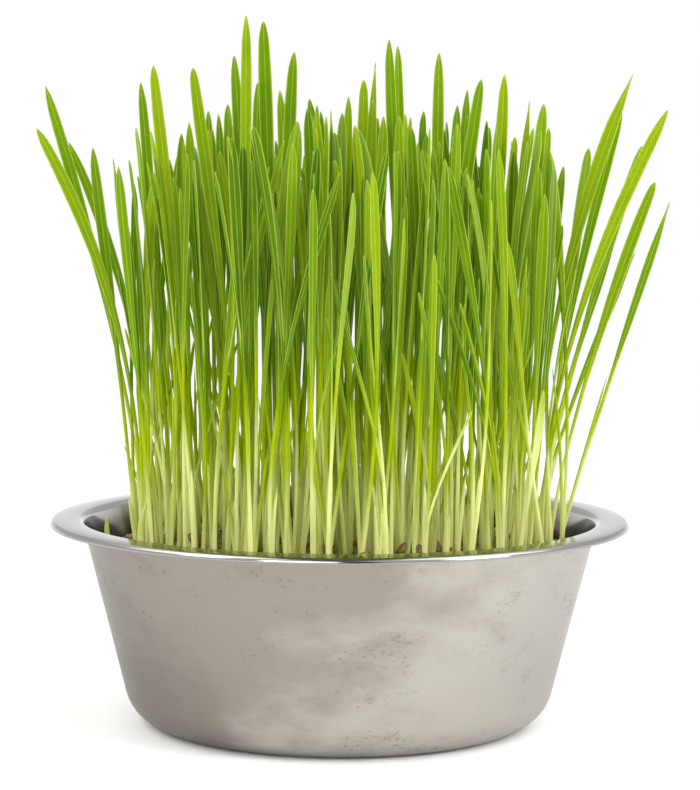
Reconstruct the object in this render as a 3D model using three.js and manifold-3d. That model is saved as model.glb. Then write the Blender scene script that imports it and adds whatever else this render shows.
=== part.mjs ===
// Wheatgrass growing in a flanged stainless steel bowl.
// Millimetres, +Z up, -Y is the front. The origin is the centre of the flat base that the bowl stands on.
import * as THREE from "three";
import { mergeVertices } from "three/addons/utils/BufferGeometryUtils.js";
import Module from "manifold-3d";

const wasm = await Module();
wasm.setup();

// The bowl, drawn from one sheet of steel.
const SHEET = 0.8;
const RIM_RADIUS = 95;
const BOWL_HEIGHT = 67.5;
const WALL_TOP_RADIUS = 84.4;
const WALL_LEAN = THREE.MathUtils.degToRad(14.3);
const CORNER_RADIUS = 14.1;
const NECK_RADIUS = 1.6;
const LIP_RADIUS = 1.5;
const LIP_TURN = THREE.MathUtils.degToRad(-10);
const TURNS = 64;

// What fills it.
const GAP = 0.4;
const COMPOST_TOP = 52.4;
const PAD_BOTTOM = 52.8;
const PAD_TOP = 57.2;
const PAD_RADIUS = 78;
const PAD_SPLIT = 0.7;
const RING_RADII = [0, 18, 46, PAD_RADIUS];
const RING_CELLS = [1, 6, 12];
const RING_ARC_STEPS = [10, 5, 3];

// One shoot: a stem that opens into a leaf with a flat face and a keel behind it. Shares are of its
// height, and the leaf's width halfway and at its nose are shares of its full width.
const ROOT_DEPTH = 3;
const STEM_WIDTH = 2.0;
const STEM_DEPTH = 1.7;
const LEAF_DEPTH = 1.2;
const STEM_SHARE = 0.3;
const LEAF_SHARE = 0.6;
const SHOULDER_SHARE = 0.92;
const NOSE_SHARE = 0.975;
const HALFWAY_WIDTH = 0.62;
const NOSE_WIDTH = 0.7;
const BEND = 1.35;

// The stand.
const SHOOTS = 272;
const SPROUTS = 18;
const GRAINS = 64;
const STAND_RADIUS = 70.5;
const SIDE_REACH = 67;
const UPRIGHT_FLARE = 0.05;
const LOOSE_FLARE = 0.38;
const LOOSE_PART = 0.3;
const SWAY = 12;
const FOOT_JITTER = 3;
const FOOT_MARGIN = 1.9;
const CLEARANCE = 0.4;
const TEST_STEP = 4;
const TRIES = 36;
const GOLDEN_ANGLE = Math.PI * (3 - Math.sqrt(5));

// The leaves that make the skyline, and last a short one that stands alone at the left: tip across, tip
// depth, tip height, foot across, leaf width and, where it isn't the usual one, how late the leaf bends.
const SKYLINE = [
  [-96.5, 0, 208, -64, 4.4, 1.45],
  [-98, -12, 194, -64, 4.6, 2.3],
  [-90.5, 14, 190, -62, 4.2, 2.2],
  [-80.5, -6, 188, -67, 4.6, 1.1],
  [-75, 4, 185, -61, 3.0],
  [-76, -4, 127, -68, 3.0, 1.2],
  [-68, 10, 169, -63, 3.2],
  [-67, 22, 201, -57, 3.2],
  [-65, -8, 209, -55, 4.0],
  [-60, -18, 214, -47, 4.8],
  [-47, -25, 213, -31, 4.8],
  [-51, 20, 197, -45, 4.6],
  [-45, 26, 201, -38, 3.8],
  [-38, 16, 203, -36, 4.2],
  [-35, -4, 218, -27, 4.4],
  [-30, -34, 229, -30, 4.2],
  [-25, -20, 228, -20, 5.2],
  [-28, 12, 210, -30, 4.0],
  [-21, 24, 208, -15, 4.2],
  [-15, -28, 218, -22, 5.0],
  [-11, -14, 201, -4, 4.6],
  [-11, 18, 205, 6, 4.2],
  [-4, 34, 202, -2, 3.2],
  [2, 22, 206, 0, 4.0],
  [0, 2, 200, -3, 4.6],
  [7, 10, 211, 4, 4.6],
  [11, 26, 218, 5, 3.2],
  [10, -6, 204, 8, 4.4],
  [15, -12, 223, 20, 4.4],
  [18, 8, 222, 21, 3.8],
  [18, -34, 198, 21, 4.4],
  [22, -20, 195, 27, 4.4],
  [27, 14, 201, 24, 3.8],
  [31, -10, 219, 31, 4.4],
  [38, 12, 203, 31, 4.2],
  [41, 6, 208, 35, 3.8],
  [44, -24, 210, 29, 4.8],
  [49, 20, 196, 40, 4.6],
  [51, 0, 199, 46, 3.8],
  [52, -12, 212, 48, 4.6],
  [58, 26, 193, 50, 4.0],
  [62, 14, 205, 54, 3.4],
  [65, -8, 203, 53, 5.0],
  [65, 8, 190, 60, 4.0],
  [69, 22, 196, 59, 3.8],
  [72, -4, 183, 61, 4.0],
  [64, -30, 174, 61, 4.4],
  [71, -14, 164, 56, 4.8],
  [81, 6, 189, 68, 4.4],
  [94, -6, 213, 65, 5.0, 2.1],
  [92, 8, 202, 67, 4.0, 1.6],
  [104, -16, 201, 66, 4.8, 1.9],
  [100, 20, 190, 67, 4.0],
  [102, -2, 178, 68, 4.6, 1.5],
  [108, 6, 172, 69, 3.4, 1.1],
  [92, 14, 162, 66, 3.4],
  [99, 24, 155, 66, 4.0, 1.4],
  [58, -40, 155, 52, 4.2],
  [51, -36, 160, 50, 4.2],
  [43, -30, 176, 48, 4.4],
  [-29, -48, 174, -40, 4.4],
  [-5, -44, 172, -8, 4.6],
  [8, -50, 156, 7, 4.2],
  [20, -46, 173, 20, 4.0],
  [26, -52, 159, 26, 3.8],
  [-76, -9, 68.5, -75, 2, 1],
];

const steel = new THREE.MeshStandardMaterial({ color: "#b5afa8", metalness: 1, roughness: 0.34 });
const soil = new THREE.MeshStandardMaterial({ color: "#3a2c20", metalness: 0, roughness: 0.95 });

// Each tuft's own green, a little lighter or darker than its neighbour's.
function grassFor(tuft) {
  const green = new THREE.Color("#86ab1e").offsetHSL(0, 0, (draw(tuft, 600) - 0.5) * 0.06);
  return new THREE.MeshStandardMaterial({ color: green, metalness: 0, roughness: 0.5 });
}

// A closed three.js geometry as a solid for joining.
function solidOf(geometry) {
  const bare = new THREE.BufferGeometry();
  bare.setAttribute("position", geometry.getAttribute("position"));
  bare.setIndex(geometry.index);
  const merged = mergeVertices(bare, 1e-4);
  return new wasm.Manifold(
    new wasm.Mesh({
      numProp: 3,
      vertProperties: merged.attributes.position.array,
      triVerts: new Uint32Array(merged.index.array),
    }),
  );
}

// A joined solid as a geometry again.
function geometryOf(solid) {
  const mesh = solid.getMesh();
  const geometry = new THREE.BufferGeometry();
  geometry.setAttribute("position", new THREE.BufferAttribute(mesh.vertProperties, 3));
  geometry.setIndex(new THREE.BufferAttribute(mesh.triVerts, 1));
  geometry.computeVertexNormals();
  return geometry;
}

// Points of an arc in the (radius, height) plane.
function arc(centre, radius, from, to, steps) {
  return Array.from({ length: steps + 1 }, (_, i) => {
    const angle = THREE.MathUtils.lerp(from, to, i / steps);
    return new THREE.Vector2(
      centre.x + radius * Math.cos(angle),
      centre.y + radius * Math.sin(angle),
    );
  });
}

// A closed profile turned about the Z axis.
function turned(profile) {
  return new THREE.LatheGeometry(profile, TURNS).rotateX(Math.PI / 2);
}

// The radius of the leaning wall at a height, on a line set in from its outside by `inset`.
function wallRadius(height, inset) {
  const below = BOWL_HEIGHT - LIP_RADIUS - height;
  return WALL_TOP_RADIUS - inset / Math.cos(WALL_LEAN) - below * Math.tan(WALL_LEAN);
}

// The centre of the rounded corner between base and wall.
function cornerCentre() {
  return new THREE.Vector2(wallRadius(CORNER_RADIUS, CORNER_RADIUS), CORNER_RADIUS);
}

// The centre of the small bend where the wall turns out into the flange.
function neckCentre() {
  const height = BOWL_HEIGHT - SHEET - NECK_RADIUS;
  return new THREE.Vector2(wallRadius(height, -NECK_RADIUS), height);
}

function bowl() {
  const corner = cornerCentre();
  const neck = neckCentre();
  const lip = new THREE.Vector2(RIM_RADIUS - LIP_RADIUS, BOWL_HEIGHT - LIP_RADIUS);
  const up = Math.PI / 2;
  const outside = [
    new THREE.Vector2(0, 0),
    ...arc(corner, CORNER_RADIUS, -up, -WALL_LEAN, 4),
    ...arc(neck, NECK_RADIUS, Math.PI - WALL_LEAN, up, 2),
    ...arc(lip, LIP_RADIUS - SHEET, up, LIP_TURN, 2),
  ];
  const inside = [
    ...arc(lip, LIP_RADIUS, LIP_TURN, up, 2),
    ...arc(neck, NECK_RADIUS + SHEET, up, Math.PI - WALL_LEAN, 2),
    ...arc(corner, CORNER_RADIUS - SHEET, -WALL_LEAN, -up, 3),
    new THREE.Vector2(0, SHEET),
  ];
  return turned([...outside, ...inside]);
}

function compost() {
  const inset = SHEET + GAP;
  return turned([
    new THREE.Vector2(0, inset),
    ...arc(cornerCentre(), CORNER_RADIUS - inset, -Math.PI / 2, -WALL_LEAN, 2),
    new THREE.Vector2(wallRadius(COMPOST_TOP, inset), COMPOST_TOP),
    new THREE.Vector2(0, COMPOST_TOP),
  ]);
}

// The cell of the root mat that a point stands in, and how far the point is from that cell's edge.
function cellAt(x, y) {
  const radius = Math.hypot(x, y);
  const ring = radius < RING_RADII[1] ? 0 : radius < RING_RADII[2] ? 1 : 2;
  const sweep = (2 * Math.PI) / RING_CELLS[ring];
  const turn = (Math.atan2(y, x) + 2 * Math.PI) % (2 * Math.PI);
  const sector = Math.floor(turn / sweep);
  const aside = Math.min(turn - sector * sweep, (sector + 1) * sweep - turn);
  const sideways = ring === 0 ? Infinity : radius * Math.sin(aside);
  const inwards = ring === 0 ? Infinity : radius - RING_RADII[ring];
  return { ring, sector, edge: Math.min(sideways, inwards, RING_RADII[ring + 1] - radius) };
}

// One piece of the root mat: a slab in the shape of its cell.
function rootPad(ring, sector) {
  const outer = RING_RADII[ring + 1] - PAD_SPLIT / 2;
  const shape = new THREE.Shape();
  if (ring === 0) {
    shape.absarc(0, 0, outer, 0, 2 * Math.PI, false);
  } else {
    const inner = RING_RADII[ring] + PAD_SPLIT / 2;
    const sweep = (2 * Math.PI) / RING_CELLS[ring];
    const start = sector * sweep;
    const trimOut = PAD_SPLIT / 2 / outer;
    const trimIn = PAD_SPLIT / 2 / inner;
    shape.absarc(0, 0, outer, start + trimOut, start + sweep - trimOut, false);
    shape.absarc(0, 0, inner, start + sweep - trimIn, start + trimIn, true);
    shape.closePath();
  }
  return new THREE.ExtrudeGeometry(shape, {
    depth: PAD_TOP - PAD_BOTTOM,
    bevelEnabled: false,
    curveSegments: RING_ARC_STEPS[ring],
  }).translate(0, 0, PAD_BOTTOM);
}

// A fixed number from 0 to 1 for each plant and purpose, so that the stand always grows the same way.
function draw(plant, purpose) {
  let h = Math.imul(plant + 1, 0x9e3779b1) ^ Math.imul(purpose + 1, 0x85ebca6b);
  h = Math.imul(h ^ (h >>> 15), 0x2c1b3c6d);
  h = Math.imul(h ^ (h >>> 12), 0x297a2d39);
  return ((h ^ (h >>> 15)) >>> 0) / 4294967296;
}

// A shoot's level cuts from foot to tip. Each has a middle, half its width as a vector, and a depth.
function withStations(shoot, shares, widths, depths) {
  const stations = shares.map((share, i) => {
    const lean = Math.pow(share, shoot.bend);
    const facing = shoot.facing + shoot.twist * share;
    return {
      share,
      x: THREE.MathUtils.lerp(shoot.foot[0], shoot.tip[0], lean),
      y: THREE.MathUtils.lerp(shoot.foot[1], shoot.tip[1], lean),
      acrossX: (Math.cos(facing) * widths[i]) / 2,
      acrossY: (Math.sin(facing) * widths[i]) / 2,
      depth: depths[i],
    };
  });
  return { ...shoot, stations };
}

// The level cut at any share of a shoot's height, straight between its stations.
function cutAt({ stations }, share) {
  const next = Math.max(1, stations.findIndex((station) => station.share >= share));
  const [from, to] = [stations[next - 1], stations[next]];
  const part = (share - from.share) / (to.share - from.share);
  return {
    x: THREE.MathUtils.lerp(from.x, to.x, part),
    y: THREE.MathUtils.lerp(from.y, to.y, part),
    acrossX: THREE.MathUtils.lerp(from.acrossX, to.acrossX, part),
    acrossY: THREE.MathUtils.lerp(from.acrossY, to.acrossY, part),
    depth: THREE.MathUtils.lerp(from.depth, to.depth, part),
  };
}

// The distance from a point to a level cut, taken as a straight stroke.
function distanceTo(cut, x, y) {
  const dx = x - cut.x;
  const dy = y - cut.y;
  const length2 = cut.acrossX ** 2 + cut.acrossY ** 2;
  const along = length2 > 0 ? (dx * cut.acrossX + dy * cut.acrossY) / length2 : 0;
  const held = THREE.MathUtils.clamp(along, -1, 1);
  return Math.hypot(dx - cut.acrossX * held, dy - cut.acrossY * held);
}

// Whether two strokes cross.
function crossing(a, b) {
  const side = (cut, x, y) => (x - cut.x) * cut.acrossY - (y - cut.y) * cut.acrossX;
  const splits = (p, q) =>
    side(p, q.x - q.acrossX, q.y - q.acrossY) * side(p, q.x + q.acrossX, q.y + q.acrossY) < 0;
  return splits(a, b) && splits(b, a);
}

// Whether two level cuts leave each other room.
function roomBetween(a, b) {
  const needed = (a.depth + b.depth) / 2 + CLEARANCE;
  const reach = Math.hypot(a.acrossX, a.acrossY) + Math.hypot(b.acrossX, b.acrossY);
  if (Math.hypot(a.x - b.x, a.y - b.y) > needed + reach) return true;
  if (crossing(a, b)) return false;
  return [-1, 1].every(
    (end) =>
      distanceTo(a, b.x + end * b.acrossX, b.y + end * b.acrossY) >= needed &&
      distanceTo(b, a.x + end * a.acrossX, a.y + end * a.acrossY) >= needed,
  );
}

// Gives a shoot its cut at each tested height that it reaches.
function withCuts(shoot) {
  const tall = shoot.tip[2] - PAD_TOP;
  const levels = Math.floor(tall / TEST_STEP) + 1;
  const cuts = Array.from({ length: levels }, (_, i) => cutAt(shoot, (i * TEST_STEP) / tall));
  return { ...shoot, cuts };
}

// Whether two shoots keep clear of each other at every tested height.
function clearOf(a, b) {
  return a.cuts.every((cut, level) => level >= b.cuts.length || roomBetween(cut, b.cuts[level]));
}

// A leaf of the skyline, facing the front. Each try moves and turns it a little more.
function skylineLeaf(plant, attempt) {
  const [tipX, tipY, tipZ, footX, width, bend = BEND] = SKYLINE[plant];
  const number = (part) => draw(plant, 3 * attempt + part) - 0.5;
  const spread = 0.6 + attempt * 0.3;
  const leaf = {
    foot: [footX + number(0) * spread * 2, tipY * 0.8 + number(1) * spread * 4],
    tip: [tipX, tipY, tipZ],
    facing: number(2) * spread,
    twist: (draw(plant, 200) - 0.5) * 0.8,
    bend,
  };
  return withStations(
    leaf,
    [0, STEM_SHARE, LEAF_SHARE, SHOULDER_SHARE, NOSE_SHARE, 1],
    [STEM_WIDTH, STEM_WIDTH, width * HALFWAY_WIDTH, width, width * NOSE_WIDTH, 0],
    [STEM_DEPTH, STEM_DEPTH, LEAF_DEPTH, LEAF_DEPTH, LEAF_DEPTH, 0],
  );
}

// A shoot from the body of the stand. Its foot is on a sunflower spiral, and some lean out loosely.
function bodyShoot(plant, attempt) {
  const number = (part) => draw(plant + 1000, 6 * attempt + part);
  const ringShare = Math.sqrt((plant + 0.5) / SHOOTS);
  const turn = plant * GOLDEN_ANGLE;
  const stray = FOOT_JITTER * (1 + attempt * 0.06);
  const foot = [
    STAND_RADIUS * ringShare * Math.cos(turn) + (number(0) * 2 - 1) * stray,
    STAND_RADIUS * ringShare * Math.sin(turn) + (number(1) * 2 - 1) * stray,
  ];
  const loose = draw(plant + 1000, 402) < LOOSE_PART;
  const forward = 1 + (loose ? LOOSE_FLARE : UPRIGHT_FLARE) * ringShare;
  const across = 1 + UPRIGHT_FLARE * ringShare;
  const swing = number(2) * 2 * Math.PI;
  const sway = SWAY * Math.sqrt(number(3)) * (1 - (0.5 * attempt) / TRIES);
  const rank = draw(plant + 1000, 400);
  const tall = rank < 0.16 ? 92 + 230 * rank : 119 + 27 * rank;
  const width = 3.4 + 1.3 * draw(plant + 1000, 401);
  const shoot = {
    foot,
    tip: [
      THREE.MathUtils.clamp(foot[0] * across + Math.cos(swing) * sway, -SIDE_REACH, SIDE_REACH),
      foot[1] * forward + Math.sin(swing) * sway,
      PAD_TOP + tall - 10 * ringShare ** 2,
    ],
    facing: number(4) * Math.PI,
    twist: (number(5) - 0.5) * 1.2,
    bend: BEND,
  };
  return withStations(
    shoot,
    [0, STEM_SHARE, LEAF_SHARE, SHOULDER_SHARE, 1],
    [STEM_WIDTH, STEM_WIDTH, width * HALFWAY_WIDTH, width, 0],
    [STEM_DEPTH, STEM_DEPTH, LEAF_DEPTH, LEAF_DEPTH, 0],
  );
}

// A short sprout that hasn't opened its leaf yet.
function sprout(plant, attempt) {
  const number = (part) => draw(plant + 3000, 4 * attempt + part);
  const radius = (STAND_RADIUS + 1.5) * Math.sqrt(number(0));
  const turn = number(1) * 2 * Math.PI;
  const foot = [radius * Math.cos(turn), radius * Math.sin(turn)];
  const tip = [foot[0] + number(2) * 4 - 2, foot[1], PAD_TOP + 14 + 26 * number(3)];
  const spike = { foot, tip, facing: turn, twist: 0, bend: 1 };
  return withStations(spike, [0, 0.7, 1], [2, 1.8, 0], [1.8, 1.6, 0]);
}

// Adds the first of a plant's tries that stands on one cell and clear of every shoot already there.
function plantInto(stand, make, plant) {
  for (let attempt = 0; attempt < TRIES; attempt++) {
    const shoot = withCuts(make(plant, attempt));
    const cell = cellAt(...shoot.foot);
    if (cell.edge >= FOOT_MARGIN && stand.every((other) => clearOf(shoot, other))) {
      stand.push({ ...shoot, cell });
      return;
    }
  }
}

function growStand() {
  const stand = [];
  SKYLINE.forEach((_, plant) => plantInto(stand, skylineLeaf, plant));
  for (let plant = 0; plant < SHOOTS; plant++) plantInto(stand, bodyShoot, plant);
  for (let plant = 0; plant < SPROUTS; plant++) plantInto(stand, sprout, plant);
  return stand;
}

// A shoot's solid: rings of three points, two at the leaf's edges and one on its keel, drawn to a tip.
function shootSolid({ stations, tip }) {
  const rings = stations.slice(0, -1);
  const points = rings.flatMap((cut) => {
    const back = cut.depth / 2 / Math.hypot(cut.acrossX, cut.acrossY);
    const height = cut.share === 0 ? PAD_TOP - ROOT_DEPTH : THREE.MathUtils.lerp(PAD_TOP, tip[2], cut.share);
    const [behindX, behindY] = [-cut.acrossY * back, cut.acrossX * back];
    return [
      [cut.x - cut.acrossX - behindX, cut.y - cut.acrossY - behindY, height],
      [cut.x + cut.acrossX - behindX, cut.y + cut.acrossY - behindY, height],
      [cut.x + behindX, cut.y + behindY, height],
    ];
  });
  const faces = [[0, 2, 1]];
  for (let ring = 0; ring < rings.length - 1; ring++) {
    for (let side = 0; side < 3; side++) {
      const a = ring * 3 + side;
      const b = ring * 3 + ((side + 1) % 3);
      faces.push([a, b, b + 3], [a, b + 3, a + 3]);
    }
  }
  const last = points.length - 3;
  const end = points.push(tip) - 1;
  faces.push([last, last + 1, end], [last + 1, last + 2, end], [last + 2, last, end]);
  const geometry = new THREE.BufferGeometry();
  geometry.setAttribute("position", new THREE.Float32BufferAttribute(points.flat(), 3));
  geometry.setIndex(faces.flat());
  return solidOf(geometry);
}

// A spent grain lying half sunk in the root mat, with the cell that it lies in.
function grain(index) {
  const radius = (PAD_RADIUS - 4) * Math.sqrt((index + 0.5) / GRAINS);
  const turn = index * GOLDEN_ANGLE + 1;
  const [x, y] = [radius * Math.cos(turn), radius * Math.sin(turn)];
  const husk = new THREE.OctahedronGeometry(1)
    .scale(3.1, 1.6, 1.5)
    .rotateZ(draw(index, 500) * Math.PI)
    .translate(x, y, PAD_TOP + 0.3);
  return { cell: cellAt(x, y), husk };
}

// One tuft: a piece of root mat with the shoots and grains that stand and lie on it.
function tuft(stand, grains, ring, sector) {
  const here = ({ cell }) => cell.ring === ring && cell.sector === sector;
  return wasm.Manifold.union([
    solidOf(rootPad(ring, sector)),
    ...stand.filter(here).map(shootSolid),
    ...grains.filter(here).map(({ husk }) => solidOf(husk)),
  ]);
}

function named(name, geometry, material) {
  const mesh = new THREE.Mesh(geometry, material);
  mesh.name = name;
  return mesh;
}

const stand = growStand();
const grains = Array.from({ length: GRAINS }, (_, i) => grain(i)).filter(({ cell }) => cell.edge > 3.4);
const wheatgrass = new THREE.Group();
wheatgrass.add(named("bowl", bowl(), steel));
wheatgrass.add(named("compost", compost(), soil));
let count = 0;
RING_CELLS.forEach((cells, ring) => {
  for (let sector = 0; sector < cells; sector++) {
    count += 1;
    const name = `tuft_${String(count).padStart(2, "0")}`;
    wheatgrass.add(named(name, geometryOf(tuft(stand, grains, ring, sector)), grassFor(count)));
  }
});

export default wheatgrass;
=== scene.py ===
"""Wheatgrass growing in a flanged stainless steel bowl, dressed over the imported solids.

Sizes are in millimetres until a mesh is made. +Z is up and -Y is the front, as in the solids.
"""

import logging
import math
from collections.abc import Callable, Sequence
from dataclasses import dataclass, field
from enum import Enum
from typing import Any

import bpy
import numpy as np
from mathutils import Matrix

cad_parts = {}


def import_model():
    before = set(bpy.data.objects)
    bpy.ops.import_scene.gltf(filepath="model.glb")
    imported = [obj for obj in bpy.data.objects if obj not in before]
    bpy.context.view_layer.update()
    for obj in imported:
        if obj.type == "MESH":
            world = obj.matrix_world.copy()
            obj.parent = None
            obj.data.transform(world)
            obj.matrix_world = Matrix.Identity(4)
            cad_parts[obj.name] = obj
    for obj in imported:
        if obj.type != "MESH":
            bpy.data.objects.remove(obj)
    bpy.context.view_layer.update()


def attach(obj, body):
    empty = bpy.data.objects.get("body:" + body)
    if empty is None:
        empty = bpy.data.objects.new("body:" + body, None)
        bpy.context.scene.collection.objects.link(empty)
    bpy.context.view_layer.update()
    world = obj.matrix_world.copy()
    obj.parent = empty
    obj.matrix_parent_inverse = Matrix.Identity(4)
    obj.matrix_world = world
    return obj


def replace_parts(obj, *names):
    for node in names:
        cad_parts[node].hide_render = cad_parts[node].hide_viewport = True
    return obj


LOG = logging.getLogger("wheatgrass")
MM = 0.001
GOLDEN_ANGLE = math.pi * (3 - math.sqrt(5))
Array = np.ndarray
Colour = tuple[float, float, float, float]


class ShootKind(Enum):
    """What a shoot is in the stand."""

    SKYLINE = "skyline"
    BODY = "body"
    SPROUT = "sprout"


class Slot(Enum):
    """The material slots."""

    STEEL = "steel"
    COMPOST = "compost"
    WHEATGRASS = "wheatgrass"


# Tools of the bench


def linear(hex_colour: str) -> Colour:
    """Turns an sRGB hex colour into the linear colour that the shaders take.

    Args:
        hex_colour: The colour as #RRGGBB.

    Returns:
        Red, green, blue and an alpha of 1.
    """
    parts = [int(hex_colour[i : i + 2], 16) / 255 for i in (1, 3, 5)]
    low, high = (lambda c: c / 12.92), (lambda c: ((c + 0.055) / 1.055) ** 2.4)
    red, green, blue = (low(c) if c <= 0.04045 else high(c) for c in parts)
    return (red, green, blue, 1.0)


def per_metre(size_mm: float) -> float:
    """Gives a pattern's scale for a feature of a real size, on coordinates in metres."""
    return 1.0 / (size_mm * MM)


def add_node(
    tree: bpy.types.NodeTree,
    kind: str,
    settings: dict[str | int, Any] | None = None,
    links: dict[str | int, bpy.types.NodeSocket] | None = None,
) -> bpy.types.Node:
    """Adds one shader node with its settings and links.

    Args:
        tree: The node tree that takes the node.
        kind: The node's type.
        settings: Properties by name, input values by socket name or number, and a colour ramp's "stops".
        links: Output sockets that feed this node's inputs, by socket name or number.

    Returns:
        The new node.
    """
    node = tree.nodes.new(kind)
    for name, value in (settings or {}).items():
        if name == "stops":
            ramp = node.color_ramp
            while len(ramp.elements) < len(value):
                ramp.elements.new(0.5)
            for element, (place, colour) in zip(ramp.elements, value):
                element.position = place
                element.color = colour
        elif isinstance(name, str) and hasattr(node, name):
            setattr(node, name, value)
        else:
            node.inputs[name].default_value = value
    for name, source in (links or {}).items():
        tree.links.new(source, node.inputs[name])
    return node


def new_material(name: str) -> tuple[bpy.types.Material, bpy.types.NodeTree, bpy.types.NodeSocket]:
    """Starts a material with an empty node tree.

    Args:
        name: The finish's name.

    Returns:
        The material, its node tree and its output's surface socket.
    """
    material = bpy.data.materials.new(name)
    material.use_nodes = True
    tree = material.node_tree
    tree.nodes.clear()
    output = add_node(tree, "ShaderNodeOutputMaterial")
    return material, tree, output.inputs["Surface"]


def draw(plant: int, purpose: int) -> float:
    """Gives a fixed number for a plant and a purpose, the same one as in the solids.

    Args:
        plant: The plant's number. Each kind of piece adds its own thousand to it.
        purpose: What the number is for.

    Returns:
        A number from 0 to 1.
    """

    def times(a: int, b: int) -> int:
        """Multiplies within 32 bits."""
        return (a * b) & 0xFFFFFFFF

    h = times(plant + 1, 0x9E3779B1) ^ times(purpose + 1, 0x85EBCA6B)
    h = times(h ^ (h >> 15), 0x2C1B3C6D)
    h = times(h ^ (h >> 12), 0x297A2D39)
    return (h ^ (h >> 15)) / 4294967296


def draw_either(plant: int, purpose: int) -> float:
    """Gives a fixed number from -1 to 1."""
    return 2 * draw(plant, purpose) - 1


def draw_turn(plant: int, purpose: int) -> float:
    """Gives a fixed angle out of the whole circle."""
    return 2 * math.pi * draw(plant, purpose)


def draw_span(span: tuple[float, float], plant: int, purpose: int) -> float:
    """Gives a fixed number in a span, which is its least value and what is added to that at most."""
    return span[0] + span[1] * draw(plant, purpose)


def smoothstep(low: float, high: float, value: Array) -> Array:
    """Eases from 0 at low to 1 at high."""
    t = np.clip((value - low) / (high - low), 0.0, 1.0)
    return t * t * (3 - 2 * t)


@dataclass
class Form:
    """A growing mesh: points, faces, and a value for each point under each attribute's name."""

    points: list[Array] = field(default_factory=list)
    faces: list[tuple[int, ...]] = field(default_factory=list)
    values: dict[str, list[Array]] = field(default_factory=dict)
    count: int = 0

    def add(self, points: Array, faces: Sequence[tuple[int, ...]], **values: Array | float) -> None:
        """Adds one closed body.

        Args:
            points: Its points in millimetres, one row each.
            faces: Its faces, counted from its own first point.
            values: An attribute's value for each point, or one for all.
        """
        self.points.append(points)
        self.faces.extend(tuple(i + self.count for i in face) for face in faces)
        for name, value in values.items():
            spread = np.broadcast_to(np.asarray(value, dtype=np.float32), (len(points),))
            self.values.setdefault(name, []).append(spread)
        self.count += len(points)

    def piece(self, name: str, material: bpy.types.Material, slot: Slot) -> bpy.types.Object:
        """Makes the piece and puts it on the root body.

        Args:
            name: The piece's name.
            material: Its finish.
            slot: The slot that the finish belongs to. It is not used.

        Returns:
            The new object.
        """
        mesh = bpy.data.meshes.new(name)
        mesh.from_pydata((np.concatenate(self.points) * MM).tolist(), [], self.faces)
        for key, parts in self.values.items():
            layer = mesh.attributes.new(key, "FLOAT", "POINT")
            layer.data.foreach_set("value", np.concatenate(parts).astype(np.float32))
        mesh.polygons.foreach_set("use_smooth", [True] * len(mesh.polygons))
        mesh.materials.append(material)
        mesh.update()
        piece = bpy.data.objects.new(name, mesh)
        bpy.context.scene.collection.objects.link(piece)
        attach(piece, "root")
        LOG.info("%s: %d points, %d faces", name, len(mesh.vertices), len(mesh.polygons))
        return piece


def tube_faces(rings: int, around: int) -> list[tuple[int, ...]]:
    """Gives the faces of a closed tube of rings that ends in one last point.

    Args:
        rings: How many rings there are.
        around: How many points each ring has.

    Returns:
        The faces, with outward normals for rings that run clockwise seen from the tube's end.
    """
    faces: list[tuple[int, ...]] = [tuple(range(around))]
    for ring in range(rings - 1):
        for side in range(around):
            a, b = ring * around + side, ring * around + (side + 1) % around
            faces.append((a, a + around, b + around, b))
    last = (rings - 1) * around
    faces.extend((last + s, last + around, last + (s + 1) % around) for s in range(around))
    return faces


# Finishes


@dataclass(frozen=True)
class Coat:
    """A colour laid over what is below it, where a value runs from low to high."""

    source: bpy.types.NodeSocket
    low: float
    high: float
    colour: str
    most: float = 1.0


def coated(tree: bpy.types.NodeTree, ground: str, coats: Sequence[Coat]) -> bpy.types.NodeSocket:
    """Lays coats of colour over a ground colour, in order.

    Args:
        tree: The node tree that takes the nodes.
        ground: The ground colour.
        coats: The coats, lowest first.

    Returns:
        The socket of the finished colour.
    """
    colour = add_node(tree, "ShaderNodeRGB")
    colour.outputs[0].default_value = linear(ground)
    result = colour.outputs[0]
    for coat in coats:
        part = add_node(
            tree,
            "ShaderNodeMapRange",
            {
                "From Min": coat.low,
                "From Max": coat.high,
                "To Max": coat.most,
                "interpolation_type": "SMOOTHSTEP",
            },
            {"Value": coat.source},
        )
        result = add_node(
            tree,
            "ShaderNodeMix",
            {"data_type": "RGBA", 7: linear(coat.colour)},
            {0: part.outputs["Result"], 6: result},
        ).outputs[2]
    return result


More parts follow.
